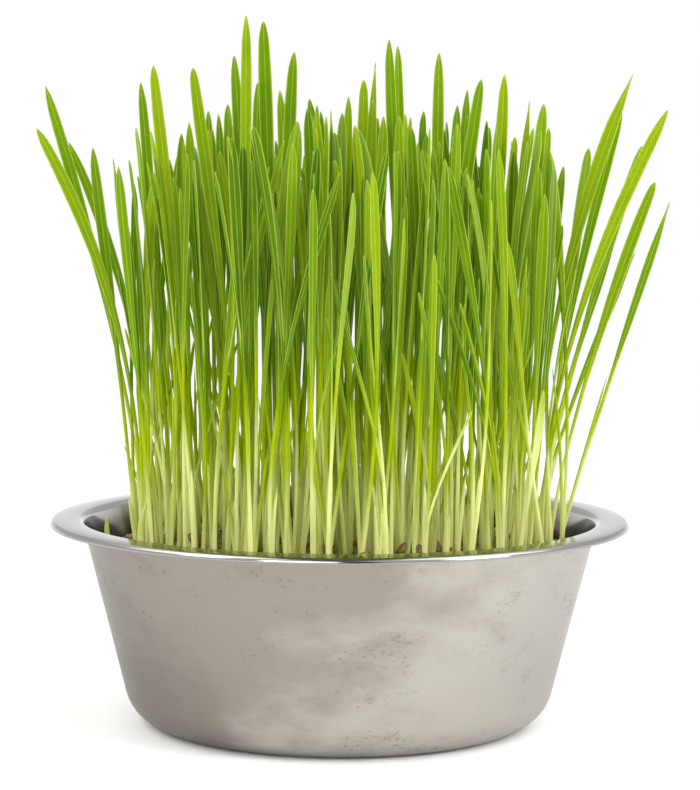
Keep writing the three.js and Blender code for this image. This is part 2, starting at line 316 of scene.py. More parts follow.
@dataclass(frozen=True)
class WornStainless:
    """Stainless steel sheet: polished inside and on the flange, brushed and dulled by water outside, with
    painted shade laid into its colour outside and painted shade and reflection inside.
    """

    sheet: str = "#AFABA5"
    film_and_shade: str = "#746D66"
    mark: str = "#585149"
    bright: str = "#9E9C99"
    stain: str = "#444228"
    film_mm: float = 34.0
    mark_mm: float = 8.0
    speck_mm: float = 1.7
    group_mm: float = 23.0
    brush_mm: float = 0.8
    brushed: float = 0.34
    polished: float = 0.11
    # How bright it is where it is seen edge on. New steel is at 1, and dull steel is lower.
    edge_on: float = 0.8
    # How strongly marks and specks keep to the groups, and how strongly, for each metre, the film and its
    # painted shade keep to the left, to the flange and to the foot.
    mark_grouping: float = 0.6
    speck_grouping: float = 0.9
    shade_to_left: float = -8.0
    shade_to_flange: float = 8.0
    shade_to_foot: float = -10.0

    def material(self) -> bpy.types.Material:
        """Builds the finish.

        Returns:
            The material.
        """
        material, tree, surface = new_material("worn_stainless_steel")
        place = add_node(tree, "ShaderNodeTexCoord").outputs["Object"]
        polish, recess_shaded = (
            add_node(tree, "ShaderNodeAttribute", {"attribute_name": name}).outputs["Fac"]
            for name in ("polish", "stain")
        )
        # Dried water leaves a film in low wide clouds, with dark marks and specks in loose groups.
        low_wide = add_node(tree, "ShaderNodeMapping", {"Scale": (1.0, 1.0, 1.9)}, {"Vector": place})
        film_and_shade, mark, speck, group = (
            add_node(
                tree,
                "ShaderNodeTexNoise",
                {"Scale": per_metre(size), "Detail": detail, "Roughness": 0.6},
                {"Vector": low_wide.outputs["Vector"]},
            ).outputs["Fac"]
            for size, detail in (
                (self.film_mm, 4.0),
                (self.mark_mm, 5.0),
                (self.speck_mm, 1.0),
                (self.group_mm, 2.0),
            )
        )
        marks, specks = (
            add_node(
                tree,
                "ShaderNodeMath",
                {"operation": "MULTIPLY_ADD", 1: weight},
                {0: group, 2: pattern},
            ).outputs["Value"]
            for pattern, weight in ((mark, self.mark_grouping), (speck, self.speck_grouping))
        )
        # Painted shade: the film thickens towards the left, above all towards its foot, and under the
        # flange it reaches further to the right, so that the wall is darker there as though less light fell
        # on it.
        parts = add_node(tree, "ShaderNodeSeparateXYZ", None, {"Vector": place})
        film_and_left_shade = add_node(
            tree,
            "ShaderNodeMath",
            {"operation": "MULTIPLY_ADD", 1: self.shade_to_left},
            {0: parts.outputs["X"], 2: film_and_shade},
        ).outputs["Value"]
        film_and_flange_shade, film_and_foot_shade = (
            add_node(
                tree,
                "ShaderNodeMath",
                {"operation": "MULTIPLY_ADD", 1: weight},
                {0: parts.outputs["Z"], 2: film_and_left_shade},
            ).outputs["Value"]
            for weight in (self.shade_to_flange, self.shade_to_foot)
        )
        colour = coated(
            tree,
            self.sheet,
            [
                # The film coats carry both the water film and the painted shade on the left, under the
                # flange and at the foot.
                Coat(film_and_flange_shade, 0.43, 0.94, self.film_and_shade, 0.64),
                Coat(film_and_foot_shade, 0.5, 0.85, self.film_and_shade, 0.4),
                Coat(marks, 0.86, 1.04, self.mark, 0.13),
                Coat(specks, 1.16, 1.26, self.mark, 0.26),
                Coat(polish, 0.2, 1.0, self.bright),
                # Painted shade and painted reflection: the inner wall above the compost is darkened to an
                # olive green.
                Coat(recess_shaded, 0.0, 1.0, self.stain, 0.85),
            ],
        )
        # Brush lines run round the wall and up it, drawn coarser than the real ones so that they show.
        lines = [
            add_node(
                tree,
                "ShaderNodeTexNoise",
                {"Scale": per_metre(self.brush_mm), "Detail": 2.0},
                {
                    "Vector": add_node(
                        tree, "ShaderNodeMapping", {"Scale": stretch}, {"Vector": place}
                    ).outputs["Vector"]
                },
            ).outputs["Fac"]
            for stretch in ((0.05, 0.05, 1.0), (1.0, 1.0, 0.05))
        ]
        brush = add_node(
            tree, "ShaderNodeMath", {"operation": "ADD"}, {0: lines[0], 1: lines[1]}
        ).outputs["Value"]
        rough = add_node(
            tree,
            "ShaderNodeMapRange",
            {"From Min": 0.6, "From Max": 1.5, "To Min": self.brushed - 0.05, "To Max": self.brushed + 0.1},
            {"Value": brush},
        )
        roughness = add_node(
            tree, "ShaderNodeMix", {3: self.polished}, {0: polish, 2: rough.outputs["Result"]}
        )
        bump = add_node(
            tree, "ShaderNodeBump", {"Strength": 0.12, "Distance": 0.05 * MM}, {"Height": brush}
        )
        shader = add_node(
            tree,
            "ShaderNodeBsdfPrincipled",
            {"Metallic": 1.0, "Specular Tint": (self.edge_on, self.edge_on, self.edge_on, 1.0)},
            {"Base Color": colour, "Roughness": roughness.outputs[0], "Normal": bump.outputs["Normal"]},
        )
        tree.links.new(shader.outputs["BSDF"], surface)
        return material


@dataclass(frozen=True)
class WheatgrassLeaf:
    """Fresh grass leaf and sheath: thin, glowing where light comes through, pale at the foot, lined."""

    leaf: str = "#80AA02"
    deep: str = "#588602"
    yellow: str = "#A2BC02"
    back: str = "#9CBC4C"
    sheath: str = "#BED010"
    foot: str = "#F4F7B8"
    line: str = "#CCDE6C"
    vein_mm: float = 0.8
    rib_mm: float = 0.3
    mottle_mm: float = 16.0
    roughness: float = 0.4
    ior: float = 1.38
    gloss: float = 0.12
    through: float = 0.5

    def material(self) -> bpy.types.Material:
        """Builds the finish.

        Returns:
            The material.
        """
        material, tree, surface = new_material("wheatgrass_leaf")
        across, edge, tone, back, pale = (
            add_node(tree, "ShaderNodeAttribute", {"attribute_name": name}).outputs["Fac"]
            for name in ("across", "edge", "tone", "back", "pale")
        )
        place = add_node(tree, "ShaderNodeTexCoord").outputs["Object"]
        mottle = add_node(
            tree,
            "ShaderNodeTexNoise",
            {"Scale": per_metre(self.mottle_mm), "Detail": 3.0},
            {"Vector": place},
        ).outputs["Fac"]
        # The veins run along the leaf. They are drawn wider apart than the real ones so that they show.
        turns = add_node(
            tree, "ShaderNodeMath", {"operation": "MULTIPLY", 1: 2 * math.pi / self.vein_mm}, {0: across}
        )
        vein = add_node(
            tree, "ShaderNodeMath", {"operation": "COSINE"}, {0: turns.outputs["Value"]}
        ).outputs["Value"]
        aside = add_node(tree, "ShaderNodeMath", {"operation": "ABSOLUTE"}, {0: across}).outputs["Value"]
        # Each leaf has its own green, deep to yellow, some show a paler, bluer back, the rib is lighter,
        # the edges are lightened as a painted highlight, and the foot is almost white and turns green as it
        # climbs into the light.
        colour = coated(
            tree,
            self.leaf,
            [
                Coat(tone, 0.45, 0.0, self.deep),
                Coat(tone, 0.5, 1.0, self.yellow),
                Coat(mottle, 0.52, 0.8, self.yellow, 0.4),
                Coat(mottle, 0.46, 0.2, self.deep, 0.4),
                Coat(back, 0.4, 1.0, self.back, 0.7),
                Coat(vein, 0.3, 1.0, self.line, 0.05),
                Coat(pale, 0.0, 0.5, self.sheath),
                Coat(aside, self.rib_mm, 0.1, self.line, 0.4),
                # Painted highlight along the leaf's edges and at its tip.
                Coat(edge, 0.74, 0.95, self.line, 0.8),
                Coat(pale, 0.55, 1.0, self.foot),
            ],
        )
        bump = add_node(
            tree, "ShaderNodeBump", {"Strength": 0.15, "Distance": 0.05 * MM}, {"Height": vein}
        )
        front = add_node(
            tree,
            "ShaderNodeBsdfPrincipled",
            {"Roughness": self.roughness, "IOR": self.ior, "Specular IOR Level": self.gloss},
            {"Base Color": colour, "Normal": bump.outputs["Normal"]},
        )
        glow = add_node(tree, "ShaderNodeBsdfTranslucent", None, {"Color": colour})
        shader = add_node(
            tree,
            "ShaderNodeMixShader",
            {0: self.through},
            {1: front.outputs["BSDF"], 2: glow.outputs["BSDF"]},
        )
        tree.links.new(shader.outputs["Shader"], surface)
        return material


@dataclass(frozen=True)
class Earthy:
    """A damp, dull natural surface in three tones, rough all over, with a grain of a real size."""

    name: str
    dark: str
    middle: str
    light: str
    grain_mm: float
    roughness: float
    relief_mm: float
    ior: float = 1.45
    uneven: float = 0.1

    def material(self) -> bpy.types.Material:
        """Builds the finish.

        Returns:
            The material.
        """
        material, tree, surface = new_material(self.name)
        place = add_node(tree, "ShaderNodeTexCoord").outputs["Object"]
        grain = add_node(
            tree,
            "ShaderNodeTexNoise",
            {"Scale": per_metre(self.grain_mm), "Detail": 6.0, "Roughness": 0.65},
            {"Vector": place},
        ).outputs["Fac"]
        colour = add_node(
            tree,
            "ShaderNodeValToRGB",
            {"stops": [(0.32, linear(self.dark)), (0.5, linear(self.middle)), (0.68, linear(self.light))]},
            {"Fac": grain},
        )
        rough = add_node(
            tree,
            "ShaderNodeMapRange",
            {"To Min": self.roughness - self.uneven, "To Max": self.roughness + self.uneven},
            {"Value": grain},
        )
        bump = add_node(
            tree, "ShaderNodeBump", {"Strength": 0.6, "Distance": self.relief_mm * MM}, {"Height": grain}
        )
        shader = add_node(
            tree,
            "ShaderNodeBsdfPrincipled",
            {"IOR": self.ior},
            {
                "Base Color": colour.outputs["Color"],
                "Roughness": rough.outputs["Result"],
                "Normal": bump.outputs["Normal"],
            },
        )
        tree.links.new(shader.outputs["BSDF"], surface)
        return material


# Damp compost: almost black, with lighter fibre in it.
COMPOST_FINISH = Earthy("damp_compost", "#1C140E", "#33261A", "#5A4630", 2.2, 0.85, 0.8)
# Matted wheat roots: off-white threads stained by the compost and by husks.
ROOT_FINISH = Earthy("matted_roots", "#4A4A24", "#83803F", "#BDB97A", 2.6, 0.75, 0.6)
# Spent wheat grain: a wrinkled tan husk.
HUSK_FINISH = Earthy("spent_grain_husk", "#45341A", "#75592C", "#A08150", 1.4, 0.6, 0.2)


# The bowl and its filling


@dataclass
class Bowl:
    """The bowl, drawn from one sheet of steel, and the compost in it."""

    sheet: float = 0.8
    rim_radius: float = 95.0
    height: float = 67.5
    wall_top_radius: float = 84.4
    wall_lean: float = math.radians(14.3)
    corner_radius: float = 14.1
    neck_radius: float = 1.6
    lip_radius: float = 1.5
    lip_turn: float = math.radians(-10)
    gap: float = 0.4
    compost_top: float = 52.4
    # How far above the compost the painted shade inside the wall reaches, before it fades.
    shade_rise: float = 9.0
    crumb_high: float = 0.35
    turns: int = 288
    step: float = 6.0
    crumb_step: float = 2.5

    def wall_radius(self, height: float, inset: float) -> float:
        """Gives the leaning wall's radius at a height, on a line set in from its outside by inset."""
        below = self.height - self.lip_radius - height
        return self.wall_top_radius - inset / math.cos(self.wall_lean) - below * math.tan(self.wall_lean)

    def corner(self) -> tuple[float, float]:
        """Gives the centre of the rounded corner, as its radius and height."""
        return self.wall_radius(self.corner_radius, self.corner_radius), self.corner_radius

    @staticmethod
    def arc(
        centre: tuple[float, float], radius: float, start: float, end: float, steps: int
    ) -> list[tuple[float, float]]:
        """Gives the points of an arc in the plane of radius and height.

        Args:
            centre: The arc's centre.
            radius: Its radius.
            start: The angle it starts at, in radians.
            end: The angle it ends at.
            steps: How many straight steps it takes.

        Returns:
            Its points, both ends included.
        """
        angles = [start + (end - start) * i / steps for i in range(steps + 1)]
        return [(centre[0] + radius * math.cos(a), centre[1] + radius * math.sin(a)) for a in angles]

    @staticmethod
    def finely(profile: list[tuple[float, float]], step: float) -> list[tuple[float, float]]:
        """Splits a profile's long straight runs.

        Args:
            profile: Radius and height of each point.
            step: The longest run that is left.

        Returns:
            The finer profile.
        """
        fine = [profile[0]]
        for (r0, z0), (r1, z1) in zip(profile, profile[1:]):
            parts = max(1, math.ceil(math.hypot(r1 - r0, z1 - z0) / step))
            shares = (i / parts for i in range(1, parts + 1))
            fine.extend((r0 + (r1 - r0) * s, z0 + (z1 - z0) * s) for s in shares)
        return fine

    def turned(
        self, profile: list[tuple[float, float]], lift: Callable[[Array], Array] | None = None
    ) -> Form:
        """Turns a profile that starts and ends on the axis about Z.

        Args:
            profile: Radius and height of each point, from the axis back to the axis.
            lift: Gives each point its own rise, from the points as one array.

        Returns:
            The closed form.
        """
        ring = profile[1:-1]
        angles = np.linspace(0, 2 * math.pi, self.turns, endpoint=False)
        points = np.concatenate(
            [np.stack([r * np.cos(angles), r * np.sin(angles), np.full(self.turns, z)], 1) for r, z in ring]
        )
        faces: list[tuple[int, ...]] = []
        for row in range(len(ring) - 1):
            for i in range(self.turns):
                a, b = row * self.turns + i, row * self.turns + (i + 1) % self.turns
                faces.append((a, b, b + self.turns, a + self.turns))
        low, high = len(points), len(points) + 1
        last = (len(ring) - 1) * self.turns
        for i in range(self.turns):
            faces.append((low, (i + 1) % self.turns, i))
            faces.append((high, last + i, last + (i + 1) % self.turns))
        ends = np.array([[0, 0, profile[0][1]], [0, 0, profile[-1][1]]], dtype=float)
        points = np.concatenate([points, ends])
        if lift is not None:
            points[:, 2] += lift(points)
        form = Form()
        form.add(points, faces)
        return form

    def shell(self) -> bpy.types.Object:
        """Builds the steel bowl in place of its solid.

        Returns:
            The piece.
        """
        neck_height = self.height - self.sheet - self.neck_radius
        neck = (self.wall_radius(neck_height, -self.neck_radius), neck_height)
        lip = (self.rim_radius - self.lip_radius, self.height - self.lip_radius)
        up = math.pi / 2
        outside = [
            (0.0, 0.0),
            *self.arc(self.corner(), self.corner_radius, -up, -self.wall_lean, 16),
            *self.arc(neck, self.neck_radius, math.pi - self.wall_lean, up, 6),
            *self.arc(lip, self.lip_radius - self.sheet, up, self.lip_turn, 6),
        ]
        inside = [
            *self.arc(lip, self.lip_radius, self.lip_turn, up, 8),
            *self.arc(neck, self.neck_radius + self.sheet, up, math.pi - self.wall_lean, 8),
            *self.arc(self.corner(), self.corner_radius - self.sheet, -self.wall_lean, -up, 14),
            (0.0, self.sheet),
        ]
        outside, inside = self.finely(outside, self.step), self.finely(inside, self.step)
        form = self.turned(outside + inside)
        polished_from = (len(outside) - 1) * self.turns
        is_inside = np.arange(form.count) >= polished_from
        # The last two points are the middles of the base, outside and inside.
        is_inside[-2] = False
        form.values["polish"] = [is_inside.astype(np.float32)]
        heights = form.points[0][:, 2]
        # Painted shade and painted reflection of the grass: inside, the wall is dark olive up to a little
        # above the compost and fades out below the rim.
        stain = 1 - smoothstep(self.compost_top + self.shade_rise, self.height - 1.0, heights)
        form.values["stain"] = [np.where(is_inside, stain, 0.0).astype(np.float32)]
        piece = form.piece("steel_bowl", WornStainless().material(), Slot.STEEL)
        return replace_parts(piece, "bowl")

    def filling(self) -> bpy.types.Object:
        """Builds the compost, with a crumbled top, in place of its solid.

        Returns:
            The piece.
        """
        inset = self.sheet + self.gap
        profile = [
            (0.0, inset),
            *self.arc(self.corner(), self.corner_radius - inset, -math.pi / 2, -self.wall_lean, 6),
            (self.wall_radius(self.compost_top, inset), self.compost_top),
            (0.0, self.compost_top),
        ]

        def crumbs(points: Array) -> Array:
            """Lowers the top into crumbs a few millimetres across.

            Args:
                points: Every point of the form.

            Returns:
                Each point's rise.
            """
            x, y, z = points.T
            rough = np.sin(x * 1.9 + np.sin(y * 1.3)) * np.sin(y * 2.1 + np.sin(x * 1.1))
            return np.where(z > self.compost_top - 0.1, self.crumb_high * rough - self.crumb_high, 0.0)

        piece = self.turned(self.finely(profile, self.crumb_step), crumbs).piece(
            "compost_fill", COMPOST_FINISH.material(), Slot.COMPOST
        )
        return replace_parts(piece, "compost")


# The stand


@dataclass
class Shoot:
    """One shoot as it stands in the solids, with its stations from foot to tip."""

    kind: ShootKind
    plant: int
    foot: tuple[float, float]
    tip: tuple[float, float, float]
    facing: float
    twist: float
    bend: float
    shares: list[float]
    widths: list[float]
    depths: list[float]
    cell: tuple[int, int] = (0, 0)

    def stations(self) -> Array:
        """Works out where the shoot is, and how wide, at each of its stations.

        Returns:
            The middle's x and y, half the width as a vector's x and y, and the depth, one row each.
        """
        shares = np.array(self.shares)
        lean = shares**self.bend
        facing = self.facing + self.twist * shares
        half = np.array(self.widths) / 2
        return np.stack(
            [
                self.foot[0] + (self.tip[0] - self.foot[0]) * lean,
                self.foot[1] + (self.tip[1] - self.foot[1]) * lean,
                np.cos(facing) * half,
                np.sin(facing) * half,
                np.array(self.depths),
            ]
        )

    def cuts(self, base: float, step: float) -> Array:
        """Cuts the shoot level at each tested height that it reaches.

        Args:
            base: The height of its foot.
            step: How far apart the tested heights are.

        Returns:
            The cuts, with the rows of stations and one column each.
        """
        tall = self.tip[2] - base
        shares = np.arange(math.floor(tall / step) + 1) * step / tall
        return np.stack([np.interp(shares, self.shares, row) for row in self.stations()])


@dataclass
class Stand:
    """Every shoot, placed by the same rules as in the solids, so that each grows where its solid does."""

    pad_top: float = 57.2
    pad_radius: float = 78.0
    ring_radii: tuple[float, ...] = (0.0, 18.0, 46.0, 78.0)
    ring_cells: tuple[int, ...] = (1, 6, 12)
    stem_width: float = 2.0
    stem_depth: float = 1.7
    leaf_depth: float = 1.2
    stem_share: float = 0.3
    leaf_share: float = 0.6
    shoulder_share: float = 0.92
    nose_share: float = 0.975
    halfway_width: float = 0.62
    nose_width: float = 0.7
    usual_bend: float = 1.35
    # Spans, each a least value and what is added at most: a body shoot's height above the mat, for the
    # short part of them and for the rest, its leaf's width, and a sprout's height. The outer body shoots
    # are lower by up to dome.
    short_part: float = 0.16
    short_heights: tuple[float, float] = (92.0, 230.0)
    full_heights: tuple[float, float] = (119.0, 27.0)
    dome: float = 10.0
    leaf_widths: tuple[float, float] = (3.4, 1.3)
    sprout_heights: tuple[float, float] = (14.0, 26.0)
    shoots: int = 272
    sprouts: int = 18
    grains: int = 64
    radius: float = 70.5
    side_reach: float = 67.0
    upright_flare: float = 0.05
    loose_flare: float = 0.38
    loose_part: float = 0.3
    sway: float = 12.0
    foot_jitter: float = 3.0
    foot_margin: float = 1.9
    clearance: float = 0.4
    test_step: float = 4.0
    tries: int = 36
    # Tip across, tip depth, tip height, foot across, leaf width and how late the leaf bends.
    skyline: tuple[tuple[float, ...], ...] = (
        (-96.5, 0, 208, -64, 4.4, 1.45),
        (-98, -12, 194, -64, 4.6, 2.3),
        (-90.5, 14, 190, -62, 4.2, 2.2),
        (-80.5, -6, 188, -67, 4.6, 1.1),
        (-75, 4, 185, -61, 3.0),
        (-76, -4, 127, -68, 3.0, 1.2),
        (-68, 10, 169, -63, 3.2),
        (-67, 22, 201, -57, 3.2),
        (-65, -8, 209, -55, 4.0),
        (-60, -18, 214, -47, 4.8),
        (-47, -25, 213, -31, 4.8),
        (-51, 20, 197, -45, 4.6),
        (-45, 26, 201, -38, 3.8),
        (-38, 16, 203, -36, 4.2),
        (-35, -4, 218, -27, 4.4),
        (-30, -34, 229, -30, 4.2),
        (-25, -20, 228, -20, 5.2),
        (-28, 12, 210, -30, 4.0),
        (-21, 24, 208, -15, 4.2),
        (-15, -28, 218, -22, 5.0),
        (-11, -14, 201, -4, 4.6),
        (-11, 18, 205, 6, 4.2),
        (-4, 34, 202, -2, 3.2),
        (2, 22, 206, 0, 4.0),
        (0, 2, 200, -3, 4.6),
        (7, 10, 211, 4, 4.6),
        (11, 26, 218, 5, 3.2),
        (10, -6, 204, 8, 4.4),
        (15, -12, 223, 20, 4.4),
        (18, 8, 222, 21, 3.8),
        (18, -34, 198, 21, 4.4),
        (22, -20, 195, 27, 4.4),
        (27, 14, 201, 24, 3.8),
        (31, -10, 219, 31, 4.4),
        (38, 12, 203, 31, 4.2),
        (41, 6, 208, 35, 3.8),
        (44, -24, 210, 29, 4.8),
        (49, 20, 196, 40, 4.6),
        (51, 0, 199, 46, 3.8),
        (52, -12, 212, 48, 4.6),
        (58, 26, 193, 50, 4.0),
        (62, 14, 205, 54, 3.4),
        (65, -8, 203, 53, 5.0),
        (65, 8, 190, 60, 4.0),
        (69, 22, 196, 59, 3.8),
        (72, -4, 183, 61, 4.0),
        (64, -30, 174, 61, 4.4),
        (71, -14, 164, 56, 4.8),
        (81, 6, 189, 68, 4.4),
        (94, -6, 213, 65, 5.0, 2.1),
        (92, 8, 202, 67, 4.0, 1.6),
        (104, -16, 201, 66, 4.8, 1.9),
        (100, 20, 190, 67, 4.0),
        (102, -2, 178, 68, 4.6, 1.5),
        (108, 6, 172, 69, 3.4, 1.1),
        (92, 14, 162, 66, 3.4),
        (99, 24, 155, 66, 4.0, 1.4),
        (58, -40, 155, 52, 4.2),
        (51, -36, 160, 50, 4.2),
        (43, -30, 176, 48, 4.4),
        (-29, -48, 174, -40, 4.4),
        (-5, -44, 172, -8, 4.6),
        (8, -50, 156, 7, 4.2),
        (20, -46, 173, 20, 4.0),
        (26, -52, 159, 26, 3.8),
        (-76, -9, 68.5, -75, 2, 1),
    )
    grown: list[Shoot] = field(default_factory=list)

    def cell_at(self, x: float, y: float) -> tuple[tuple[int, int], float]:
        """Finds the cell of the root mat under a point.

        Args:
            x: Where the point is across.
            y: Where it is in depth.

        Returns:
            The cell's ring and sector, and how far the point is from the cell's edge.
        """
        radius = math.hypot(x, y)
        ring = 0 if radius < self.ring_radii[1] else 1 if radius < self.ring_radii[2] else 2
        sweep = 2 * math.pi / self.ring_cells[ring]
        turn = (math.atan2(y, x) + 2 * math.pi) % (2 * math.pi)
        sector = math.floor(turn / sweep)
        aside = min(turn - sector * sweep, (sector + 1) * sweep - turn)
        sideways = math.inf if ring == 0 else radius * math.sin(aside)
        inwards = math.inf if ring == 0 else radius - self.ring_radii[ring]
        return (ring, sector), min(sideways, inwards, self.ring_radii[ring + 1] - radius)

    def skyline_leaf(self, plant: int, attempt: int) -> Shoot:
        """Makes one try at a leaf of the skyline, facing the front.

        Args:
            plant: Its row in the skyline's table.
            attempt: Which try it is. Later ones stray further.

        Returns:
            The leaf.
        """
        tip_x, tip_y, tip_z, foot_x, width, *late = self.skyline[plant]
        numbers = [draw(plant, 3 * attempt + part) - 0.5 for part in range(3)]
        spread = 0.6 + attempt * 0.3
        return Shoot(
            ShootKind.SKYLINE,
            plant,
            (foot_x + numbers[0] * spread * 2, tip_y * 0.8 + numbers[1] * spread * 4),
            (tip_x, tip_y, tip_z),
            numbers[2] * spread,
            (draw(plant, 200) - 0.5) * 0.8,
            late[0] if late else self.usual_bend,
            [0, self.stem_share, self.leaf_share, self.shoulder_share, self.nose_share, 1],
            [self.stem_width] * 2 + [width * self.halfway_width, width, width * self.nose_width, 0],
            [self.stem_depth] * 2 + [self.leaf_depth] * 3 + [0],
        )

    def body_shoot(self, plant: int, attempt: int) -> Shoot:
        """Makes one try at a shoot of the body, on a sunflower spiral.

        Args:
            plant: Its number on the spiral.
            attempt: Which try it is.

        Returns:
            The shoot.
        """
        seed = plant + 1000
        numbers = [draw(seed, 6 * attempt + part) for part in range(6)]
        ring_share = math.sqrt((plant + 0.5) / self.shoots)
        turn = plant * GOLDEN_ANGLE
        stray = self.foot_jitter * (1 + attempt * 0.06)
        foot = (
            self.radius * ring_share * math.cos(turn) + (numbers[0] * 2 - 1) * stray,
            self.radius * ring_share * math.sin(turn) + (numbers[1] * 2 - 1) * stray,
        )
        loose = draw(seed, 402) < self.loose_part
        forward = 1 + (self.loose_flare if loose else self.upright_flare) * ring_share
        across = 1 + self.upright_flare * ring_share
        swing = numbers[2] * 2 * math.pi
        sway = self.sway * math.sqrt(numbers[3]) * (1 - (0.5 * attempt) / self.tries)
        rank = draw(seed, 400)
        least, growth = self.short_heights if rank < self.short_part else self.full_heights
        tall = least + growth * rank
        width = draw_span(self.leaf_widths, seed, 401)
        tip_x = foot[0] * across + math.cos(swing) * sway
        return Shoot(
            ShootKind.BODY,
            plant,
            foot,
            (
                max(-self.side_reach, min(self.side_reach, tip_x)),
                foot[1] * forward + math.sin(swing) * sway,
                self.pad_top + tall - self.dome * ring_share**2,
            ),
            numbers[4] * math.pi,
            (numbers[5] - 0.5) * 1.2,
            self.usual_bend,
            [0, self.stem_share, self.leaf_share, self.shoulder_share, 1],
            [self.stem_width] * 2 + [width * self.halfway_width, width, 0],
            [self.stem_depth] * 2 + [self.leaf_depth] * 2 + [0],
        )

    def sprout(self, plant: int, attempt: int) -> Shoot:
        """Makes one try at a short sprout that hasn't opened its leaf yet.

        Args:
            plant: The sprout's number.
            attempt: Which try it is.

        Returns:
            The sprout.
        """
        numbers = [draw(plant + 3000, 4 * attempt + part) for part in range(4)]
        radius = (self.radius + 1.5) * math.sqrt(numbers[0])
        turn = numbers[1] * 2 * math.pi
        foot = (radius * math.cos(turn), radius * math.sin(turn))
        least, growth = self.sprout_heights
        tip = (foot[0] + numbers[2] * 4 - 2, foot[1], self.pad_top + least + growth * numbers[3])
        return Shoot(
            ShootKind.SPROUT, plant, foot, tip, turn, 0.0, 1.0, [0, 0.7, 1], [2, 1.8, 0], [1.8, 1.6, 0]
        )

    def room(self, mine: Array, others: Array) -> bool:
        """Tells whether a shoot keeps clear of every other one at every tested height.

        Args:
            mine: The shoot's level cuts, one column each.
            others: The level cuts of all that stand, as shoot, row and column. Above a tip they hold nan.

        Returns:
            True if there is room for it.
        """
        levels = min(mine.shape[1], others.shape[2])
        ax, ay, aux, auy, depth_a = mine[:, None, :levels]
        bx, by, bux, buy, depth_b = (others[:, row, :levels] for row in range(5))
        needed = (depth_a + depth_b) / 2 + self.clearance
        dx, dy = bx - ax, by - ay
        reach = np.hypot(aux, auy) + np.hypot(bux, buy)
        far = np.hypot(dx, dy) > needed + reach

        def side(px: Array, py: Array, pux: Array, puy: Array, x: Array, y: Array) -> Array:
            """Tells which side of a stroke a point is on."""
            return (x - px) * puy - (y - py) * pux

        def splits(p: Sequence[Array], q: Sequence[Array]) -> Array:
            """Tells whether stroke q has an end on each side of the line through stroke p."""
            first = side(*p, q[0] - q[2], q[1] - q[3])
            return first * side(*p, q[0] + q[2], q[1] + q[3]) < 0

        def distance(p: Sequence[Array], x: Array, y: Array) -> Array:
            """Measures how far a point is from a stroke.

            Args:
                p: The stroke's middle and half length, as x and y each.
                x: Where the point is across.
                y: Where it is in depth.

            Returns:
                The distance.
            """
            gx, gy = x - p[0], y - p[1]
            length2 = p[2] ** 2 + p[3] ** 2
            along = np.where(length2 > 0, (gx * p[2] + gy * p[3]) / np.maximum(length2, 1e-12), 0.0)
            held = np.clip(along, -1, 1)
            return np.hypot(gx - p[2] * held, gy - p[3] * held)

        a, b = (ax, ay, aux, auy), (bx, by, bux, buy)
        good = ~(splits(a, b) & splits(b, a))
        for end in (-1, 1):
            good &= distance(a, bx + end * bux, by + end * buy) >= needed
            good &= distance(b, ax + end * aux, ay + end * auy) >= needed
        return bool(np.all(far | good | np.isnan(bx)))

    def grow(self) -> None:
        """Plants the skyline, then the body, then the sprouts, each only where it has room."""
        plans: list[tuple[Callable[[int, int], Shoot], int]] = [
            (self.skyline_leaf, len(self.skyline)),
            (self.body_shoot, self.shoots),
            (self.sprout, self.sprouts),
        ]
        levels = math.ceil(max(leaf[2] for leaf in self.skyline) / self.test_step)
        standing = np.full((sum(count for _, count in plans), 5, levels), np.nan)
        with np.errstate(invalid="ignore"):
            for make, count in plans:
                for plant in range(count):
                    self.plant_first(make, plant, standing)
        LOG.info("the stand has %d shoots", len(self.grown))

    def plant_first(self, make: Callable[[int, int], Shoot], plant: int, standing: Array) -> None:
        """Plants the first of a plant's tries that has room.

        Args:
            make: Makes one try.
            plant: Which plant it is.
            standing: The level cuts of all that stand, which takes the new one's.
        """
        for attempt in range(self.tries):
            shoot = make(plant, attempt)
            shoot.cell, edge = self.cell_at(*shoot.foot)
            if edge < self.foot_margin:
                continue
            cuts = shoot.cuts(self.pad_top, self.test_step)
            if self.room(cuts, standing[: len(self.grown)]):
                standing[len(self.grown), :, : cuts.shape[1]] = cuts
                self.grown.append(shoot)
                return

    def cells(self) -> list[tuple[int, int]]:
        """Lists the cells of the root mat in the order of their tufts."""
        return [(ring, sector) for ring, count in enumerate(self.ring_cells) for sector in range(count)]


@dataclass(frozen=True)
class Sheath:
    """A foot sheath: its span of heights, how far out it leans at most, its width and how green it gets."""

    heights: tuple[float, float]
    out: float
    width: float
    green: float


